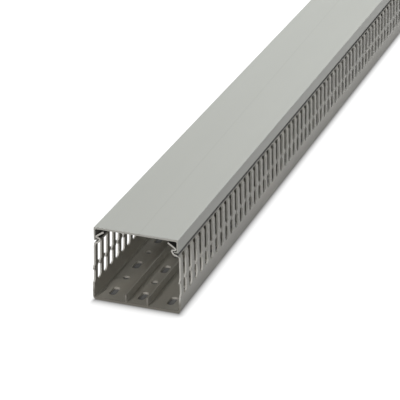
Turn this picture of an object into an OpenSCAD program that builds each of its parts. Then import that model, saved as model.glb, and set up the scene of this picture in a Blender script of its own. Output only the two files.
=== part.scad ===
// Slotted wire duct: a U-shaped plastic base with slotted side walls and a
// clip-on cover. X is across, Y along the length and Z up, in millimetres.
// The origin is at the middle of the underside, with the front end at -Y.

/* [Duct] */
// Width over the side walls
duct_w = 75; // [60:1:120]
// Height of the closed duct
duct_h = 64.5; // [52:0.5:110]
// Length of the stock
duct_l = 1000; // [250:12.5:1250]
// Thickness of the side walls and of the clip rails
wall_t = 1.4; // [1:0.1:1.8]
// Thickness of the floor
floor_t = 2; // [1.4:0.1:3]
// Outer radius of the two lower edges
corner_r = 3; // [2.5:0.5:5]
// Lean of each side wall towards the middle, at the shoulder
wall_lean = 0.7; // [0:0.1:1.2]

/* [Wall slots] */
// Distance from one slot to the next
slot_pitch = 12.5; // [10:0.5:25]
// Width of a slot
slot_w = 7.5; // [5:0.1:9]
// Middle of the first slot, measured from the front end
slot_first = -1.4; // [-3:0.1:2]
// Height of the slot bottom above the underside
slot_z = 14.3; // [10:0.1:18]
// Reach of each breaking nib into its slot
nib_reach = 2.2; // [1:0.1:2.4]
// Height of the middle of the two nibs of a slot
nib_z = 28.8; // [27:0.1:33]

/* [Floor] */
// Distance from the centre line to each lengthwise fin
fin_x = 9.2; // [6:0.1:12]
// Height of the fins above the floor
fin_h = 6.8; // [2:0.1:8]
// Thickness of the fins
fin_t = 1.4; // [1:0.1:2]
// Diameter of the round holes and width of the oblong ones
hole_d = 6; // [4:0.1:8]
// Length of the oblong holes
oblong_l = 14; // [8:0.5:18]
// Distance from one row of holes to the next
row_pitch = 25; // [20:0.5:50]
// Distance from the front end to the first row
row_first = 15; // [12:0.5:25]
// Distance from the faces of the side walls to the outer hole columns
column_inset = 12.5; // [9:0.5:15]

/* [Cover] */
// Thickness of the cover plate
plate_t = 1.6; // [1:0.1:2.5]
// Thickness of the cover's side flanges
flange_t = 1.2; // [1:0.1:1.6]
// Height of the flanges, from the cover's top face
flange_h = 11.3; // [9:0.1:15]
// Inset of the flanges from the faces of the side walls
flange_inset = 1.9; // [0.5:0.1:2.5]
// Running clearance between the cover and the clip rails
clip_gap = 0.25; // [0.15:0.05:0.4]

/* [Hidden] */
base_color = "#84837e";
cover_color = "#b5b6b1";

half_w = duct_w / 2;
front_y = -duct_l / 2;
rear_y = duct_l / 2;
slot_r = slot_w / 2;
slot_count = floor((duct_l + slot_r - slot_first) / slot_pitch) + 1;
row_count = floor((duct_l - 2 * row_first) / row_pitch) + 1;
column_x = half_w - column_inset;
inner_r = corner_r - 2;

// The hook on each flange reaches into the pocket under the clip's bend.
hook_t = 0.9;
hook_in = flange_inset + flange_t + 2.2;
hook_drop = flange_h - hook_t;

// The clip rail, as [inset from the wall's face, drop from the closed top,
// radius of the bend] of the middle of the strip, from the wall to the tip.
shoulder_drop = flange_h + 5.2;
pocket_drop = flange_h + 2.2;
knob_drop = hook_drop - clip_gap - wall_t / 2;
bend_inset = flange_inset + flange_t + clip_gap + wall_t / 2;
bend_r = wall_t / 2 + 0.2;
knob = [bend_inset + 3.6, knob_drop];
tip = [bend_inset + 6.4, plate_t + 1.7];
outer_bend = corner_over(knob, tip, [bend_inset + bend_r, knob_drop - 1.25], bend_r);
clip_points = [
    [wall_lean + wall_t / 2, shoulder_drop, 4.5],
    [bend_inset - 0.8, pocket_drop, bend_r + 0.3],
    [bend_inset + 1.4, pocket_drop - 0.4, bend_r + 0.5],
    [knob[0], knob[1], bend_r],
    [outer_bend[0], outer_bend[1], bend_r],
    [tip[0], tip[1], 0]
];
slot_top = duct_h - pocket_drop - wall_t / 2 - 0.3;

nib_h = 3;
head_r = 0.8;
over = 1;

function unit(v) = v / norm(v);
function turn_left(v) = [-v[1], v[0]];
function flip(points) = [for (i = [len(points) - 1:-1:0]) points[i]];
function mirror_x(points) = [for (p = points) [-p[0], p[1]]];

// The direction of the line from p that touches the circle of radius r round c.
function touching(p, c, r, side) =
    let (w = atan2(c[1] - p[1], c[0] - p[0]) + side * asin(r / norm(c - p))) [cos(w), sin(w)];

// Where the lines from p and q that touch that circle meet, beyond it.
function corner_over(p, q, c, r) =
    let (
        u = touching(p, c, r, -1),
        v = touching(q, c, r, 1),
        d = q - p
    )
    p + u * (d[0] * v[1] - d[1] * v[0]) / (u[0] * v[1] - u[1] * v[0]);

// The points of a round bend of radius r between a, b and c, at b.
function bend(a, b, c, r) =
    let (u = unit(a - b), v = unit(c - b), half = acos(u * v) / 2)
    r == 0 ? [b] :
    let (
        reach = r / tan(half),
        middle = b + unit(u + v) * r / sin(half),
        side = sign(u[0] * v[1] - u[1] * v[0]),
        start = b + u * reach - middle,
        sweep = side * (180 - 2 * half),
        steps = max(2, ceil((180 - 2 * half) / 30))
    )
    [for (i = [0:steps]) let (w = -sweep * i / steps)
        middle + [start[0] * cos(w) - start[1] * sin(w), start[0] * sin(w) + start[1] * cos(w)]];

// A path of [x, y, radius] points with its corners made round.
function rounded(path) = let (n = len(path)) [
    for (i = [0:n - 1])
        let (b = [path[i][0], path[i][1]])
        each (i == 0 || i == n - 1) ? [b] :
            bend([path[i - 1][0], path[i - 1][1]], b, [path[i + 1][0], path[i + 1][1]], path[i][2])
];

// The path moved sideways by d, to its left when d is positive.
function beside(path, d) = let (n = len(path)) [
    for (i = [0:n - 1])
        let (
            before = unit(path[max(i, 1)] - path[max(i, 1) - 1]),
            after = unit(path[min(i + 1, n - 1)] - path[min(i + 1, n - 1) - 1]),
            normal = unit(turn_left(before) + turn_left(after))
        )
        path[i] + normal * d / (normal * turn_left(before))
];

function arc(cx, cy, r, from, to, steps = 4) =
    [for (i = [0:steps]) let (w = from + (to - from) * i / steps) [cx + r * cos(w), cy + r * sin(w)]];

// The right half of the base's section: the strip from the lower edge up to
// the tip of the clip, then back along its inside to the centre line.
strip = rounded(concat(
    [[half_w - wall_t / 2, slot_z, 0]],
    [for (p = clip_points) [half_w - p[0], duct_h - p[1], p[2]]]
));
base_half = concat(
    arc(half_w - corner_r, corner_r, corner_r, -90, 0),
    beside(strip, -wall_t / 2),
    flip(beside(strip, wall_t / 2)),
    arc(half_w - wall_t - inner_r, floor_t + inner_r, inner_r, 0, -90, 3),
    [
        [fin_x + fin_t / 2, floor_t], [fin_x + fin_t / 2, floor_t + fin_h],
        [fin_x - fin_t / 2, floor_t + fin_h], [fin_x - fin_t / 2, floor_t]
    ]
);

// The right half of the cover's section, from the centre of the plate's top.
cover_x = half_w - flange_inset;
edge_r = 0.8;
cover_half = concat(
    arc(cover_x - edge_r, duct_h - edge_r, edge_r, 90, 0, 3),
    [
        [cover_x, duct_h - flange_h], [half_w - hook_in, duct_h - flange_h],
        [half_w - hook_in, duct_h - hook_drop - 0.4], [half_w - hook_in + 0.6, duct_h - hook_drop],
        [cover_x - flange_t, duct_h - hook_drop],
        [cover_x - flange_t, duct_h - plate_t - edge_r], [cover_x - flange_t - edge_r, duct_h - plate_t]
    ]
);

// A section drawn in X and Z, pulled along the whole length.
module pulled(half) {
    translate([0, duct_l / 2, 0]) rotate([90, 0, 0])
        linear_extrude(height = duct_l) polygon(concat(half, flip(mirror_x(half))));
}

// One slot with a round bottom through both walls, with a nib on each side.
// A nib whose finger lies past an end of the stock is left out.
function slot_outline(low_nib, high_nib) = [
    [-slot_r, slot_z + slot_r], [slot_r, slot_z + slot_r],
    [slot_r, nib_z - nib_h], [slot_r - high_nib, nib_z - nib_h * 0.87],
    [slot_r - high_nib, nib_z - nib_h * 0.33], [slot_r, nib_z + nib_h * 0.6],
    [slot_r, slot_top - head_r], [slot_r - head_r, slot_top],
    [head_r - slot_r, slot_top], [-slot_r, slot_top - head_r],
    [-slot_r, nib_z + nib_h], [low_nib - slot_r, nib_z + nib_h * 0.87],
    [low_nib - slot_r, nib_z + nib_h * 0.33], [-slot_r, nib_z - nib_h * 0.6]
];

module wall_slot(y) {
    reach = duct_w + 2 * over;
    low_nib = y - slot_r > front_y ? nib_reach : 0;
    high_nib = y + slot_r < rear_y ? nib_reach : 0;
    translate([-reach / 2, y, 0]) rotate([90, 0, 90]) {
        linear_extrude(height = reach) polygon(slot_outline(low_nib, high_nib));
        translate([0, slot_z + slot_r, 0]) cylinder(r = slot_r, h = reach, $fn = 32);
    }
}

module round_hole(x, y) {
    translate([x, y, -over]) cylinder(d = hole_d, h = floor_t + 2 * over, $fn = 32);
}

module oblong_hole(x, y) {
    reach = (oblong_l - hole_d) / 2;
    round_hole(x, y - reach);
    round_hole(x, y + reach);
    translate([x - hole_d / 2, y - reach, -over]) cube([hole_d, 2 * reach, floor_t + 2 * over]);
}

module duct_base() {
    color(base_color) difference() {
        pulled(base_half);
        for (i = [0:slot_count - 1]) wall_slot(front_y + slot_first + i * slot_pitch);
        for (i = [0:row_count - 1], x = [-column_x, 0, column_x])
            if (i % 2 == 0) oblong_hole(x, front_y + row_first + i * row_pitch);
            else round_hole(x, front_y + row_first + i * row_pitch);
    }
}

module duct_cover() {
    color(cover_color) pulled(cover_half);
}

duct_base();
duct_cover();
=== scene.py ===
import math

import bpy
from mathutils import Matrix, Vector


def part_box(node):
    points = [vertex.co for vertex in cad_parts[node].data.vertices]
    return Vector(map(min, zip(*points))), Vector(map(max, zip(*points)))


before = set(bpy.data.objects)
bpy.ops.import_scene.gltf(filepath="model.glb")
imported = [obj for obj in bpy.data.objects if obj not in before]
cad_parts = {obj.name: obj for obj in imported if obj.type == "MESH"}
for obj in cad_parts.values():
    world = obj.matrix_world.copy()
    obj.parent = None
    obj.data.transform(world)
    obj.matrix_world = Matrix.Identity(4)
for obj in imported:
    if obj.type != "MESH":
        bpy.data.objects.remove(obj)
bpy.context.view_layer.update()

print("scene: frame loaded")

baseLow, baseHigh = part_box("duct_base")
coverLow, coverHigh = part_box("duct_cover")
frontY = baseLow.y
rearY = baseHigh.y


# camera: a long lens from the front right, above

cameraValues = {
    "azimuth": 20.019,       # degrees to the right of the duct's own direction
    "elevation": 24.933,     # degrees above the floor
    "roll": -0.026,          # degrees
    "lens": 168.33,          # mm
    "sensor": 36,            # mm
    "distance": 1.49186,     # metres from the front end's lower middle, along the view
    "sideways": 0.050564,    # metres that the view's centre lies right of that point
    "upward": 0.084862,      # and above it
    "sight": 20,             # metres that the camera sees
}


def makeCamera(values):
    azimuth = math.radians(values["azimuth"])
    elevation = math.radians(values["elevation"])
    ahead = math.cos(elevation)
    forward = Vector((-math.sin(azimuth) * ahead, math.cos(azimuth) * ahead, -math.sin(elevation)))
    turn = Matrix.Rotation(math.radians(values["roll"]), 3, -forward)
    right = turn @ Vector((math.cos(azimuth), math.sin(azimuth), 0))
    up = right.cross(forward)
    aim = Vector((0, frontY, 0)) + right * values["sideways"] + up * values["upward"]
    spin = Matrix((right, up, -forward)).transposed()
    data = bpy.data.cameras.new("camera")
    data.lens = values["lens"]
    data.sensor_width = values["sensor"]
    data.clip_end = values["sight"]
    camera = bpy.data.objects.new("camera", data)
    camera.matrix_world = Matrix.Translation(aim - forward * values["distance"]) @ spin.to_4x4()
    bpy.context.scene.collection.objects.link(camera)
    bpy.context.scene.camera = camera


makeCamera(cameraValues)
print("scene: camera")


# node helpers

def newGroup(name, inputs, outputs):
    # an input with no number is a vector, and every output is a number
    group = bpy.data.node_groups.new(name, "ShaderNodeTree")
    for label, value in inputs.items():
        kind = "NodeSocketVector" if value is None else "NodeSocketFloat"
        socket = group.interface.new_socket(name=label, in_out="INPUT", socket_type=kind)
        if value is not None:
            socket.default_value = value
    for label in outputs:
        group.interface.new_socket(name=label, in_out="OUTPUT", socket_type="NodeSocketFloat")
    given = group.nodes.new("NodeGroupInput")
    result = group.nodes.new("NodeGroupOutput")
    return group, given.outputs, result.inputs


def plug(tree, value, socket):
    # numbers and colours are set on the socket, and anything else is linked to it
    if isinstance(value, (int, float, tuple)):
        socket.default_value = value
    else:
        tree.links.new(value, socket)


def calculate(tree, operation, first, second=None, clamp=False):
    node = tree.nodes.new("ShaderNodeMath")
    node.operation = operation
    node.use_clamp = clamp
    plug(tree, first, node.inputs[0])
    if second is not None:
        plug(tree, second, node.inputs[1])
    return node.outputs[0]


def times(tree, first, second):
    return calculate(tree, "MULTIPLY", first, second)


def minus(tree, first, second, clamp=False):
    return calculate(tree, "SUBTRACT", first, second, clamp)


def plus(tree, first, second):
    return calculate(tree, "ADD", first, second)


def absolute(tree, value):
    return calculate(tree, "ABSOLUTE", value)


def ramp(tree, value, low, high):
    # 0 at low and 1 at high, straight between and level beyond
    node = tree.nodes.new("ShaderNodeMapRange")
    node.inputs["From Min"].default_value = low
    node.inputs["From Max"].default_value = high
    plug(tree, value, node.inputs["Value"])
    return node.outputs["Result"]


def axes(tree, vector):
    node = tree.nodes.new("ShaderNodeSeparateXYZ")
    plug(tree, vector, node.inputs[0])
    return node.outputs


def mixColor(tree, share, first, second):
    node = tree.nodes.new("ShaderNodeMix")
    node.data_type = "RGBA"
    plug(tree, share, node.inputs[0])
    plug(tree, first, node.inputs[6])
    plug(tree, second, node.inputs[7])
    return node.outputs[2]


def layOver(tree, tint, mask, share, color):
    return mixColor(tree, times(tree, mask, share), tint, color)


def stretchedNoise(tree, coords, stretch, scale, detail, rough):
    mapping = tree.nodes.new("ShaderNodeMapping")
    mapping.inputs["Scale"].default_value = stretch
    plug(tree, coords, mapping.inputs["Vector"])
    noise = tree.nodes.new("ShaderNodeTexNoise")
    noise.inputs["Scale"].default_value = scale
    noise.inputs["Detail"].default_value = detail
    noise.inputs["Roughness"].default_value = rough
    plug(tree, mapping.outputs[0], noise.inputs["Vector"])
    return noise.outputs[0]


# shared effects; a noise is given as its stretch, scale, detail and roughness

drawnValues = {
    "fine": ((1, 0.004, 1), 2600, 3, 0.6),
    "broad": ((1, 0.012, 1), 320, 2, 0.5),
    "waves": ((1, 0.25, 1), 38, 3, 0.5),
}


def makeDrawnLines(values):
    # fine lines that the extrusion die draws along the duct, with slow waves in them
    group, given, result = newGroup(
        "extrusionLines", {"Vector": None, "Fine": 0.5, "Broad": 0.5}, ("Lines", "Waves"))
    fine = stretchedNoise(group, given["Vector"], *values["fine"])
    broad = stretchedNoise(group, given["Vector"], *values["broad"])
    waves = stretchedNoise(group, given["Vector"], *values["waves"])
    fine = times(group, fine, given["Fine"])
    broad = times(group, broad, given["Broad"])
    plug(group, plus(group, fine, broad), result["Lines"])
    plug(group, waves, result["Waves"])
    return group


cutAndHighlightValues = {
    "facing": (0.35, 0.6),          # how squarely a face looks along the duct, from none to full
    "floorShare": 0.4,              # share low on the floor plate, so its cut faces get less of the lighter tone
    "floorRise": (0.002, 0.006),    # metres above the underside, where the full tone comes in
    "marks": ((1, 1, 9), 900, 2, 0.6),
}


def makeCutAndHighlight(values):
    # sawn ends and punched edges, whose lighter tone is partly cut plastic and partly a painted highlight:
    # whatever looks along the duct was cut, as the extruded faces all run along it
    group, given, result = newGroup("cutFacesAndHighlight", {"Vector": None, "Normal": None}, ("Mask", "Marks"))
    facing = absolute(group, axes(group, given["Normal"])["Y"])
    facing = ramp(group, facing, *values["facing"])
    floorRise = (baseLow.z + rise for rise in values["floorRise"])
    raised = ramp(group, axes(group, given["Vector"])["Z"], *floorRise)
    raised = calculate(group, "MAXIMUM", raised, values["floorShare"])
    plug(group, times(group, facing, raised), result["Mask"])
    plug(group, stretchedNoise(group, given["Vector"], *values["marks"]), result["Marks"])
    return group


gapValues = {
    "samples": 8,
    "level": (0.15, 0.45),      # how level a face lies, from none to full shade
    "open": (1.0, 0.7),         # how open its surroundings are, from none to full shade
    "drop": (0.008, 0.004),     # metres below the flanges' edge, where the shade comes in
}


def makeNarrowGaps(values):
    # shade on level or sloping faces that a narrow gap closes over, as on the
    # clip rails under the cover's flanges
    group, given, result = newGroup(
        "narrowGaps", {"Vector": None, "Normal": None, "Reach": 0.006}, ("Shade",))
    near = group.nodes.new("ShaderNodeAmbientOcclusion")
    near.samples = values["samples"]
    plug(group, given["Reach"], near.inputs["Distance"])
    level = absolute(group, axes(group, given["Normal"])["Z"])
    level = ramp(group, level, *values["level"])
    closed = ramp(group, near.outputs["AO"], *values["open"])
    heights = (coverLow.z - drop for drop in values["drop"])
    high = ramp(group, axes(group, given["Vector"])["Z"], *heights)
    plug(group, times(group, times(group, closed, level), high), result["Shade"])
    return group


grooveFade = 0.0005     # metres over which the painted shadow in the groove ends


def makeClipGroove(fade):
    # painted shadow along the groove of each clip rail, just below the edge of the flange
    group, given, result = newGroup(
        "clipGroove", {"Vector": None, "Depth": 0.003, "Width": 0.0016}, ("Mask",))
    place = axes(group, given["Vector"])
    below = minus(group, coverLow.z, place["Z"])
    deep = minus(group, given["Depth"], below)
    deep = ramp(group, deep, 0, fade)
    inset = minus(group, coverHigh.x, absolute(group, place["X"]))
    near = calculate(group, "LESS_THAN", inset, given["Width"])
    plug(group, times(group, deep, near), result["Mask"])
    return group


lowDarkeningValues = {
    "outer": 0.005,         # metres in from the walls' faces that count as outside
    "endSkin": 0.0003,      # metres in from the sawn ends that count as end
    "endFade": 0.004,       # metres over which the darkening on the ends comes in
    "endShare": 0.8,
    "noise": ((1, 0.3, 1), 90, 4, 0.6),
    "ragged": (0.1, 0.5),   # of that noise, from none to full darkening
}


def makeLowDarkening(values):
    # darker towards the floor: low on the outer faces, and more so on the lowest part
    # of the sawn ends
    group, given, result = newGroup(
        "darkerTowardsFloor", {"Vector": None, "Normal": None, "Height": 0.01, "End Height": 0.012}, ("Mask",))
    place = axes(group, given["Vector"])
    facing = axes(group, given["Normal"])
    above = minus(group, place["Z"], baseLow.z)
    low = minus(group, 1.0, calculate(group, "DIVIDE", above, given["Height"]), clamp=True)
    lowEnd = minus(group, given["End Height"], above)
    lowEnd = ramp(group, lowEnd, 0, values["endFade"])
    # the inside isn't darkened
    outward = calculate(group, "GREATER_THAN", times(group, facing["X"], place["X"]), 0)
    outer = calculate(group, "GREATER_THAN", absolute(group, place["X"]), baseHigh.x - values["outer"])
    end = calculate(group, "GREATER_THAN", absolute(group, place["Y"]), rearY - values["endSkin"])
    ragged = stretchedNoise(group, given["Vector"], *values["noise"])
    ragged = ramp(group, ragged, *values["ragged"])
    lowDarkening = times(group, times(group, low, times(group, outward, outer)), ragged)
    endDarkening = times(group, times(group, lowEnd, end), values["endShare"])
    plug(group, calculate(group, "MAXIMUM", lowDarkening, endDarkening), result["Mask"])
    return group


def makeFaintTopLine():
    # one faint darker line along the top
    group, given, result = newGroup(
        "faintTopLine", {"Vector": None, "Place": 0.0, "Slant": 0.0, "Width": 0.001}, ("Mask",))
    place = axes(group, given["Vector"])
    drift = times(group, place["Y"], given["Slant"])
    away = minus(group, place["X"], plus(group, drift, given["Place"]))
    away = calculate(group, "DIVIDE", absolute(group, away), given["Width"])
    plug(group, minus(group, 1.0, away, clamp=True), result["Mask"])
    return group


handlingDetail = 5


def makeHandling(detail):
    # dull patches from handling and settled dust, slow and faint
    group, given, result = newGroup("handling", {"Vector": None, "Scale": 14.0}, ("Mottle",))
    slow = group.nodes.new("ShaderNodeTexNoise")
    slow.inputs["Detail"].default_value = detail
    plug(group, given["Vector"], slow.inputs["Vector"])
    plug(group, given["Scale"], slow.inputs["Scale"])
    plug(group, slow.outputs[0], result["Mottle"])
    return group


effects = {
    "lines": makeDrawnLines(drawnValues),
    "cutAndHighlight": makeCutAndHighlight(cutAndHighlightValues),
    "gaps": makeNarrowGaps(gapValues),
    "groove": makeClipGroove(grooveFade),
    "handling": makeHandling(handlingDetail),
    "lowDarkening": makeLowDarkening(lowDarkeningValues),
    "faintTopLine": makeFaintTopLine(),
}
print("scene: shared effects")


# the duct's two plastics

def placeEffect(tree, name, coords, settings):
    node = tree.nodes.new("ShaderNodeGroup")
    node.node_tree = effects[name]
    plug(tree, coords.outputs["Object"], node.inputs["Vector"])
    if "Normal" in node.inputs:
        plug(tree, coords.outputs["Normal"], node.inputs["Normal"])
    for label, value in settings.items():
        node.inputs[label].default_value = value
    return node.outputs


def makePlastic(name, values):
    material = bpy.data.materials.new(name)
    material.use_nodes = True
    tree = material.node_tree
    shader = tree.nodes["Principled BSDF"]
    shader.inputs["IOR"].default_value = values["refraction"]
    coords = tree.nodes.new("ShaderNodeTexCoord")
    drawn = placeEffect(tree, "lines", coords, {"Fine": values["fineLines"], "Broad": values["broadLines"]})
    cutAndHighlight = placeEffect(tree, "cutAndHighlight", coords, {})
    gaps = placeEffect(tree, "gaps", coords, {"Reach": values["gapReach"]})
    groove = placeEffect(
        tree, "groove", coords, {"Depth": values["grooveDepth"], "Width": values["grooveWidth"]})
    handling = placeEffect(tree, "handling", coords, {"Scale": values["mottleScale"]})
    lowDarkening = placeEffect(
        tree, "lowDarkening", coords, {"Height": values["lowDarkeningHeight"], "End Height": values["endDarkening"]})
    faintTopLine = placeEffect(
        tree, "faintTopLine", coords,
        {"Place": values["topLinePlace"], "Slant": values["topLineSlant"], "Width": values["topLineWidth"]})

    tint = mixColor(tree, drawn["Waves"], values["dark"], values["light"])
    streak = ramp(tree, drawn["Lines"], *values["streakRange"])
    tint = layOver(tree, tint, streak, values["streak"], values["line"])
    mottle = ramp(tree, handling["Mottle"], *values["mottleRange"])
    tint = layOver(tree, tint, mottle, values["mottle"], values["dust"])
    # lighter cut faces, partly a painted highlight on faces looking along the duct
    tint = layOver(tree, tint, cutAndHighlight["Mask"], values["cutAndHighlightShare"], values["cutAndHighlight"])
    # a faint darker line along the top
    tint = layOver(tree, tint, faintTopLine["Mask"], values["topLineDepth"], values["topLineTone"])
    # darker towards the floor on the outer faces and the sawn ends
    tint = layOver(tree, tint, lowDarkening["Mask"], values["lowDarkening"], values["lowDarkTone"])
    tint = layOver(tree, tint, gaps["Shade"], values["gapShade"], values["gap"])
    # painted shadow in the clip rail's groove, kept off the cut faces
    grooveShade = times(tree, groove["Mask"], minus(tree, 1.0, cutAndHighlight["Mask"]))
    tint = layOver(tree, tint, grooveShade, values["groove"], values["gap"])
    plug(tree, tint, shader.inputs["Base Color"])

    rough = times(tree, drawn["Lines"], values["lineRoughness"])
    rough = plus(tree, rough, values["roughness"])
    rough = plus(tree, rough, times(tree, cutAndHighlight["Mask"], values["cutRoughness"]))
    plug(tree, rough, shader.inputs["Roughness"])

    relief = times(tree, cutAndHighlight["Marks"], cutAndHighlight["Mask"])
    relief = plus(tree, relief, drawn["Lines"])
    bump = tree.nodes.new("ShaderNodeBump")
    bump.inputs["Distance"].default_value = values["relief"]
    bump.inputs["Strength"].default_value = values["reliefStrength"]
    plug(tree, relief, bump.inputs["Height"])
    plug(tree, bump.outputs[0], shader.inputs["Normal"])
    return material


def paint(node, material):
    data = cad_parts[node].data
    data.materials.clear()
    data.materials.append(material)


baseValues = {
    # the bare plastic, from its darker to its lighter waves
    "dark": (0.40, 0.388, 0.348, 1),
    "light": (0.44, 0.428, 0.386, 1),
    "roughness": 0.36,
    "refraction": 1.5,
    # lines that the die draws: colour, share, and the noise from none to full
    "line": (0.52, 0.51, 0.47, 1),
    "streak": 0.35,
    "streakRange": (0.3, 0.75),
    "fineLines": 0.5,
    "broadLines": 0.5,
    "lineRoughness": 0.16,
    "relief": 0.0002,            # metres
    "reliefStrength": 0.5,
    # patches of handling and dust
    "dust": (0.47, 0.435, 0.37, 1),
    "mottle": 0.4,
    "mottleRange": (0.45, 0.7),
    "mottleScale": 14.0,
    # sawn ends and punched edges: lighter cut plastic, partly a painted highlight
    "cutAndHighlight": (0.78, 0.77, 0.74, 1),
    "cutAndHighlightShare": 0.85,
    "cutRoughness": 0.25,
    # painted shade in narrow gaps, and painted shadow in the groove of the clip rail, in metres
    "gap": (0.03, 0.03, 0.028, 1),
    "gapShade": 0.95,
    "gapReach": 0.006,
    "groove": 0.97,
    "grooveDepth": 0.0029,
    "grooveWidth": 0.0016,
    # darker towards the floor, in metres
    "lowDarkTone": (0.16, 0.145, 0.12, 1),
    "lowDarkening": 0.9,
    "lowDarkeningHeight": 0.014,
    "endDarkening": 0.012,
    # one faint darker line along the top, which the base doesn't have
    "topLineTone": (0.38, 0.385, 0.35, 1),
    "topLineDepth": 0.0,
    "topLinePlace": 0.0,             # metres from the middle
    "topLineSlant": 0.0,
    "topLineWidth": 0.001,
}
paint("duct_base", makePlastic("basePlastic", baseValues))

coverValues = {
    **baseValues,
    "dark": (0.445, 0.45, 0.413, 1),
    "light": (0.465, 0.47, 0.433, 1),
    "roughness": 0.34,
    "line": (0.50, 0.505, 0.468, 1),
    "streak": 0.2,
    "dust": (0.48, 0.48, 0.44, 1),
    "mottle": 0.15,
    "cutAndHighlight": (0.58, 0.58, 0.55, 1),
    "groove": 0.0,
    "topLineDepth": 0.35,
    "topLinePlace": -0.0055,
    "topLineSlant": -0.0166,
}
paint("duct_cover", makePlastic("coverPlastic", coverValues))
print("scene: materials")


# floor, world and lamps

floorValues = {
    "size": 14.0,
    "drop": 0.0001,          # metres below the duct, so that the two don't flicker
    "color": (0.2, 0.2, 0.2, 1),
    "glow": 0.95,            # lifts the floor to white for the camera
    "underGlow": 0.12,       # the share of that left under the duct
    "shadowDepth": 0.78,     # of the soft shadow round the foot
    "reachRight": 0.0098,    # metres that the shadow reaches past the foot
    "reachLeft": 0.004,
    "reachEnds": 0.012,
    "footInset": 0.0015,     # metres that the foot lies in from the side walls, as its edges are round
}


def makeFloorWhite(values):
    material = bpy.data.materials.new("floorWhite")
    material.use_nodes = True
    tree = material.node_tree
    tree.nodes.clear()
    diffuse = tree.nodes.new("ShaderNodeBsdfDiffuse")
    diffuse.inputs["Color"].default_value = values["color"]
    glow = tree.nodes.new("ShaderNodeEmission")
    path = tree.nodes.new("ShaderNodeLightPath").outputs
    seen = calculate(tree, "MAXIMUM", path["Is Camera Ray"], path["Is Glossy Ray"])
    seen = calculate(tree, "MAXIMUM", seen, path["Is Transmission Ray"])
    coords = tree.nodes.new("ShaderNodeTexCoord")
    place = axes(tree, coords.outputs["Object"])
    footX = baseHigh.x - values["footInset"]
    edges = (
        ("X", 1, footX, values["reachRight"]),
        ("X", -1, footX, values["reachLeft"]),
        ("Y", 1, rearY, values["reachEnds"]),
        ("Y", -1, -frontY, values["reachEnds"]),
    )
    # how far a point lies past the edges of the foot, as a share of the shadow's reach
    away = 0.0
    for axis, side, edge, reach in edges:
        past = minus(tree, times(tree, place[axis], side), edge)
        past = calculate(tree, "DIVIDE", past, reach, clamp=True)
        away = plus(tree, calculate(tree, "POWER", past, 2), away)
    away = calculate(tree, "SQRT", away)
    closeness = minus(tree, 1.0, away, clamp=True)
    shade = times(tree, calculate(tree, "POWER", closeness, 2), values["shadowDepth"])
    seen = times(tree, seen, minus(tree, 1.0, shade))
    # little glow under the duct, so its floor holes look down on shade
    beside = calculate(tree, "GREATER_THAN", away, 0)
    beside = calculate(tree, "MAXIMUM", beside, values["underGlow"])
    seen = times(tree, seen, beside)
    plug(tree, times(tree, seen, values["glow"]), glow.inputs["Strength"])
    both = tree.nodes.new("ShaderNodeAddShader")
    plug(tree, diffuse.outputs[0], both.inputs[0])
    plug(tree, glow.outputs[0], both.inputs[1])
    out = tree.nodes.new("ShaderNodeOutputMaterial")
    plug(tree, both.outputs[0], out.inputs["Surface"])
    return material


def makeFloor(values):
    half = values["size"] / 2
    mesh = bpy.data.meshes.new("floor")
    corners = [(-half, -half, 0), (half, -half, 0), (half, half, 0), (-half, half, 0)]
    mesh.from_pydata(corners, [], [(0, 1, 2, 3)])
    mesh.materials.append(makeFloorWhite(values))
    floor = bpy.data.objects.new("floor", mesh)
    floor.location.z = baseLow.z - values["drop"]
    bpy.context.scene.collection.objects.link(floor)


makeFloor(floorValues)

worldValues = {"color": (1.0, 1.0, 1.0, 1), "strength": 0.04}


def makeWorld(values):
    # plain white to look at, but only a little light
    world = bpy.data.worlds.new("studio")
    bpy.context.scene.world = world
    world.use_nodes = True
    tree = world.node_tree
    background = tree.nodes["Background"]
    background.inputs["Color"].default_value = values["color"]
    path = tree.nodes.new("ShaderNodeLightPath").outputs
    seen = calculate(tree, "MAXIMUM", path["Is Camera Ray"], path["Is Transmission Ray"])
    lift = times(tree, seen, 1.0 - values["strength"])
    plug(tree, plus(tree, lift, values["strength"]), background.inputs["Strength"])


makeWorld(worldValues)

lampValues = {
    # place and aim from the duct's front end and size, in metres, and power in watts
    "overhead": {
        "place": (0, 1.1, 1.6), "aim": (0, 0.9, 0), "size": (0.9, 1.8),
        "power": 35, "color": (0.955, 0.975, 1.0),
    },
    "front": {
        "place": (-0.5, -1.9, 1.2), "aim": (0, 0.1, 0.03), "size": (0.6, 0.6),
        "power": 17, "color": (1.0, 0.98, 0.94),
    },
    "right": {
        "place": (0.62, -1.8, 0.6), "aim": (0, 0.4, 0.03), "size": (0.3, 0.3),
        "power": 7.5, "color": (1.0, 0.98, 0.93),
    },
    "side": {
        "place": (1.3, 1.6, 0.8), "aim": (0, 0.9, 0.03), "size": (0.8, 0.8),
        "power": 7, "color": (1.0, 0.99, 0.96),
    },
}


def makeLamp(name, values):
    data = bpy.data.lights.new(name, "AREA")
    data.shape = "RECTANGLE"
    data.size, data.size_y = values["size"]
    data.energy = values["power"]
    data.color = values["color"]
    lamp = bpy.data.objects.new(name, data)
    start = Vector((0, frontY, 0))
    place = start + Vector(values["place"])
    aim = start + Vector(values["aim"])
    lamp.location = place
    lamp.rotation_mode = "QUATERNION"
    lamp.rotation_quaternion = (aim - place).to_track_quat("-Z", "Y")
    bpy.context.scene.collection.objects.link(lamp)


for lampName, lampSettings in lampValues.items():
    makeLamp(lampName, lampSettings)
bpy.context.scene.view_settings.view_transform = "Standard"
print("scene: floor and light")
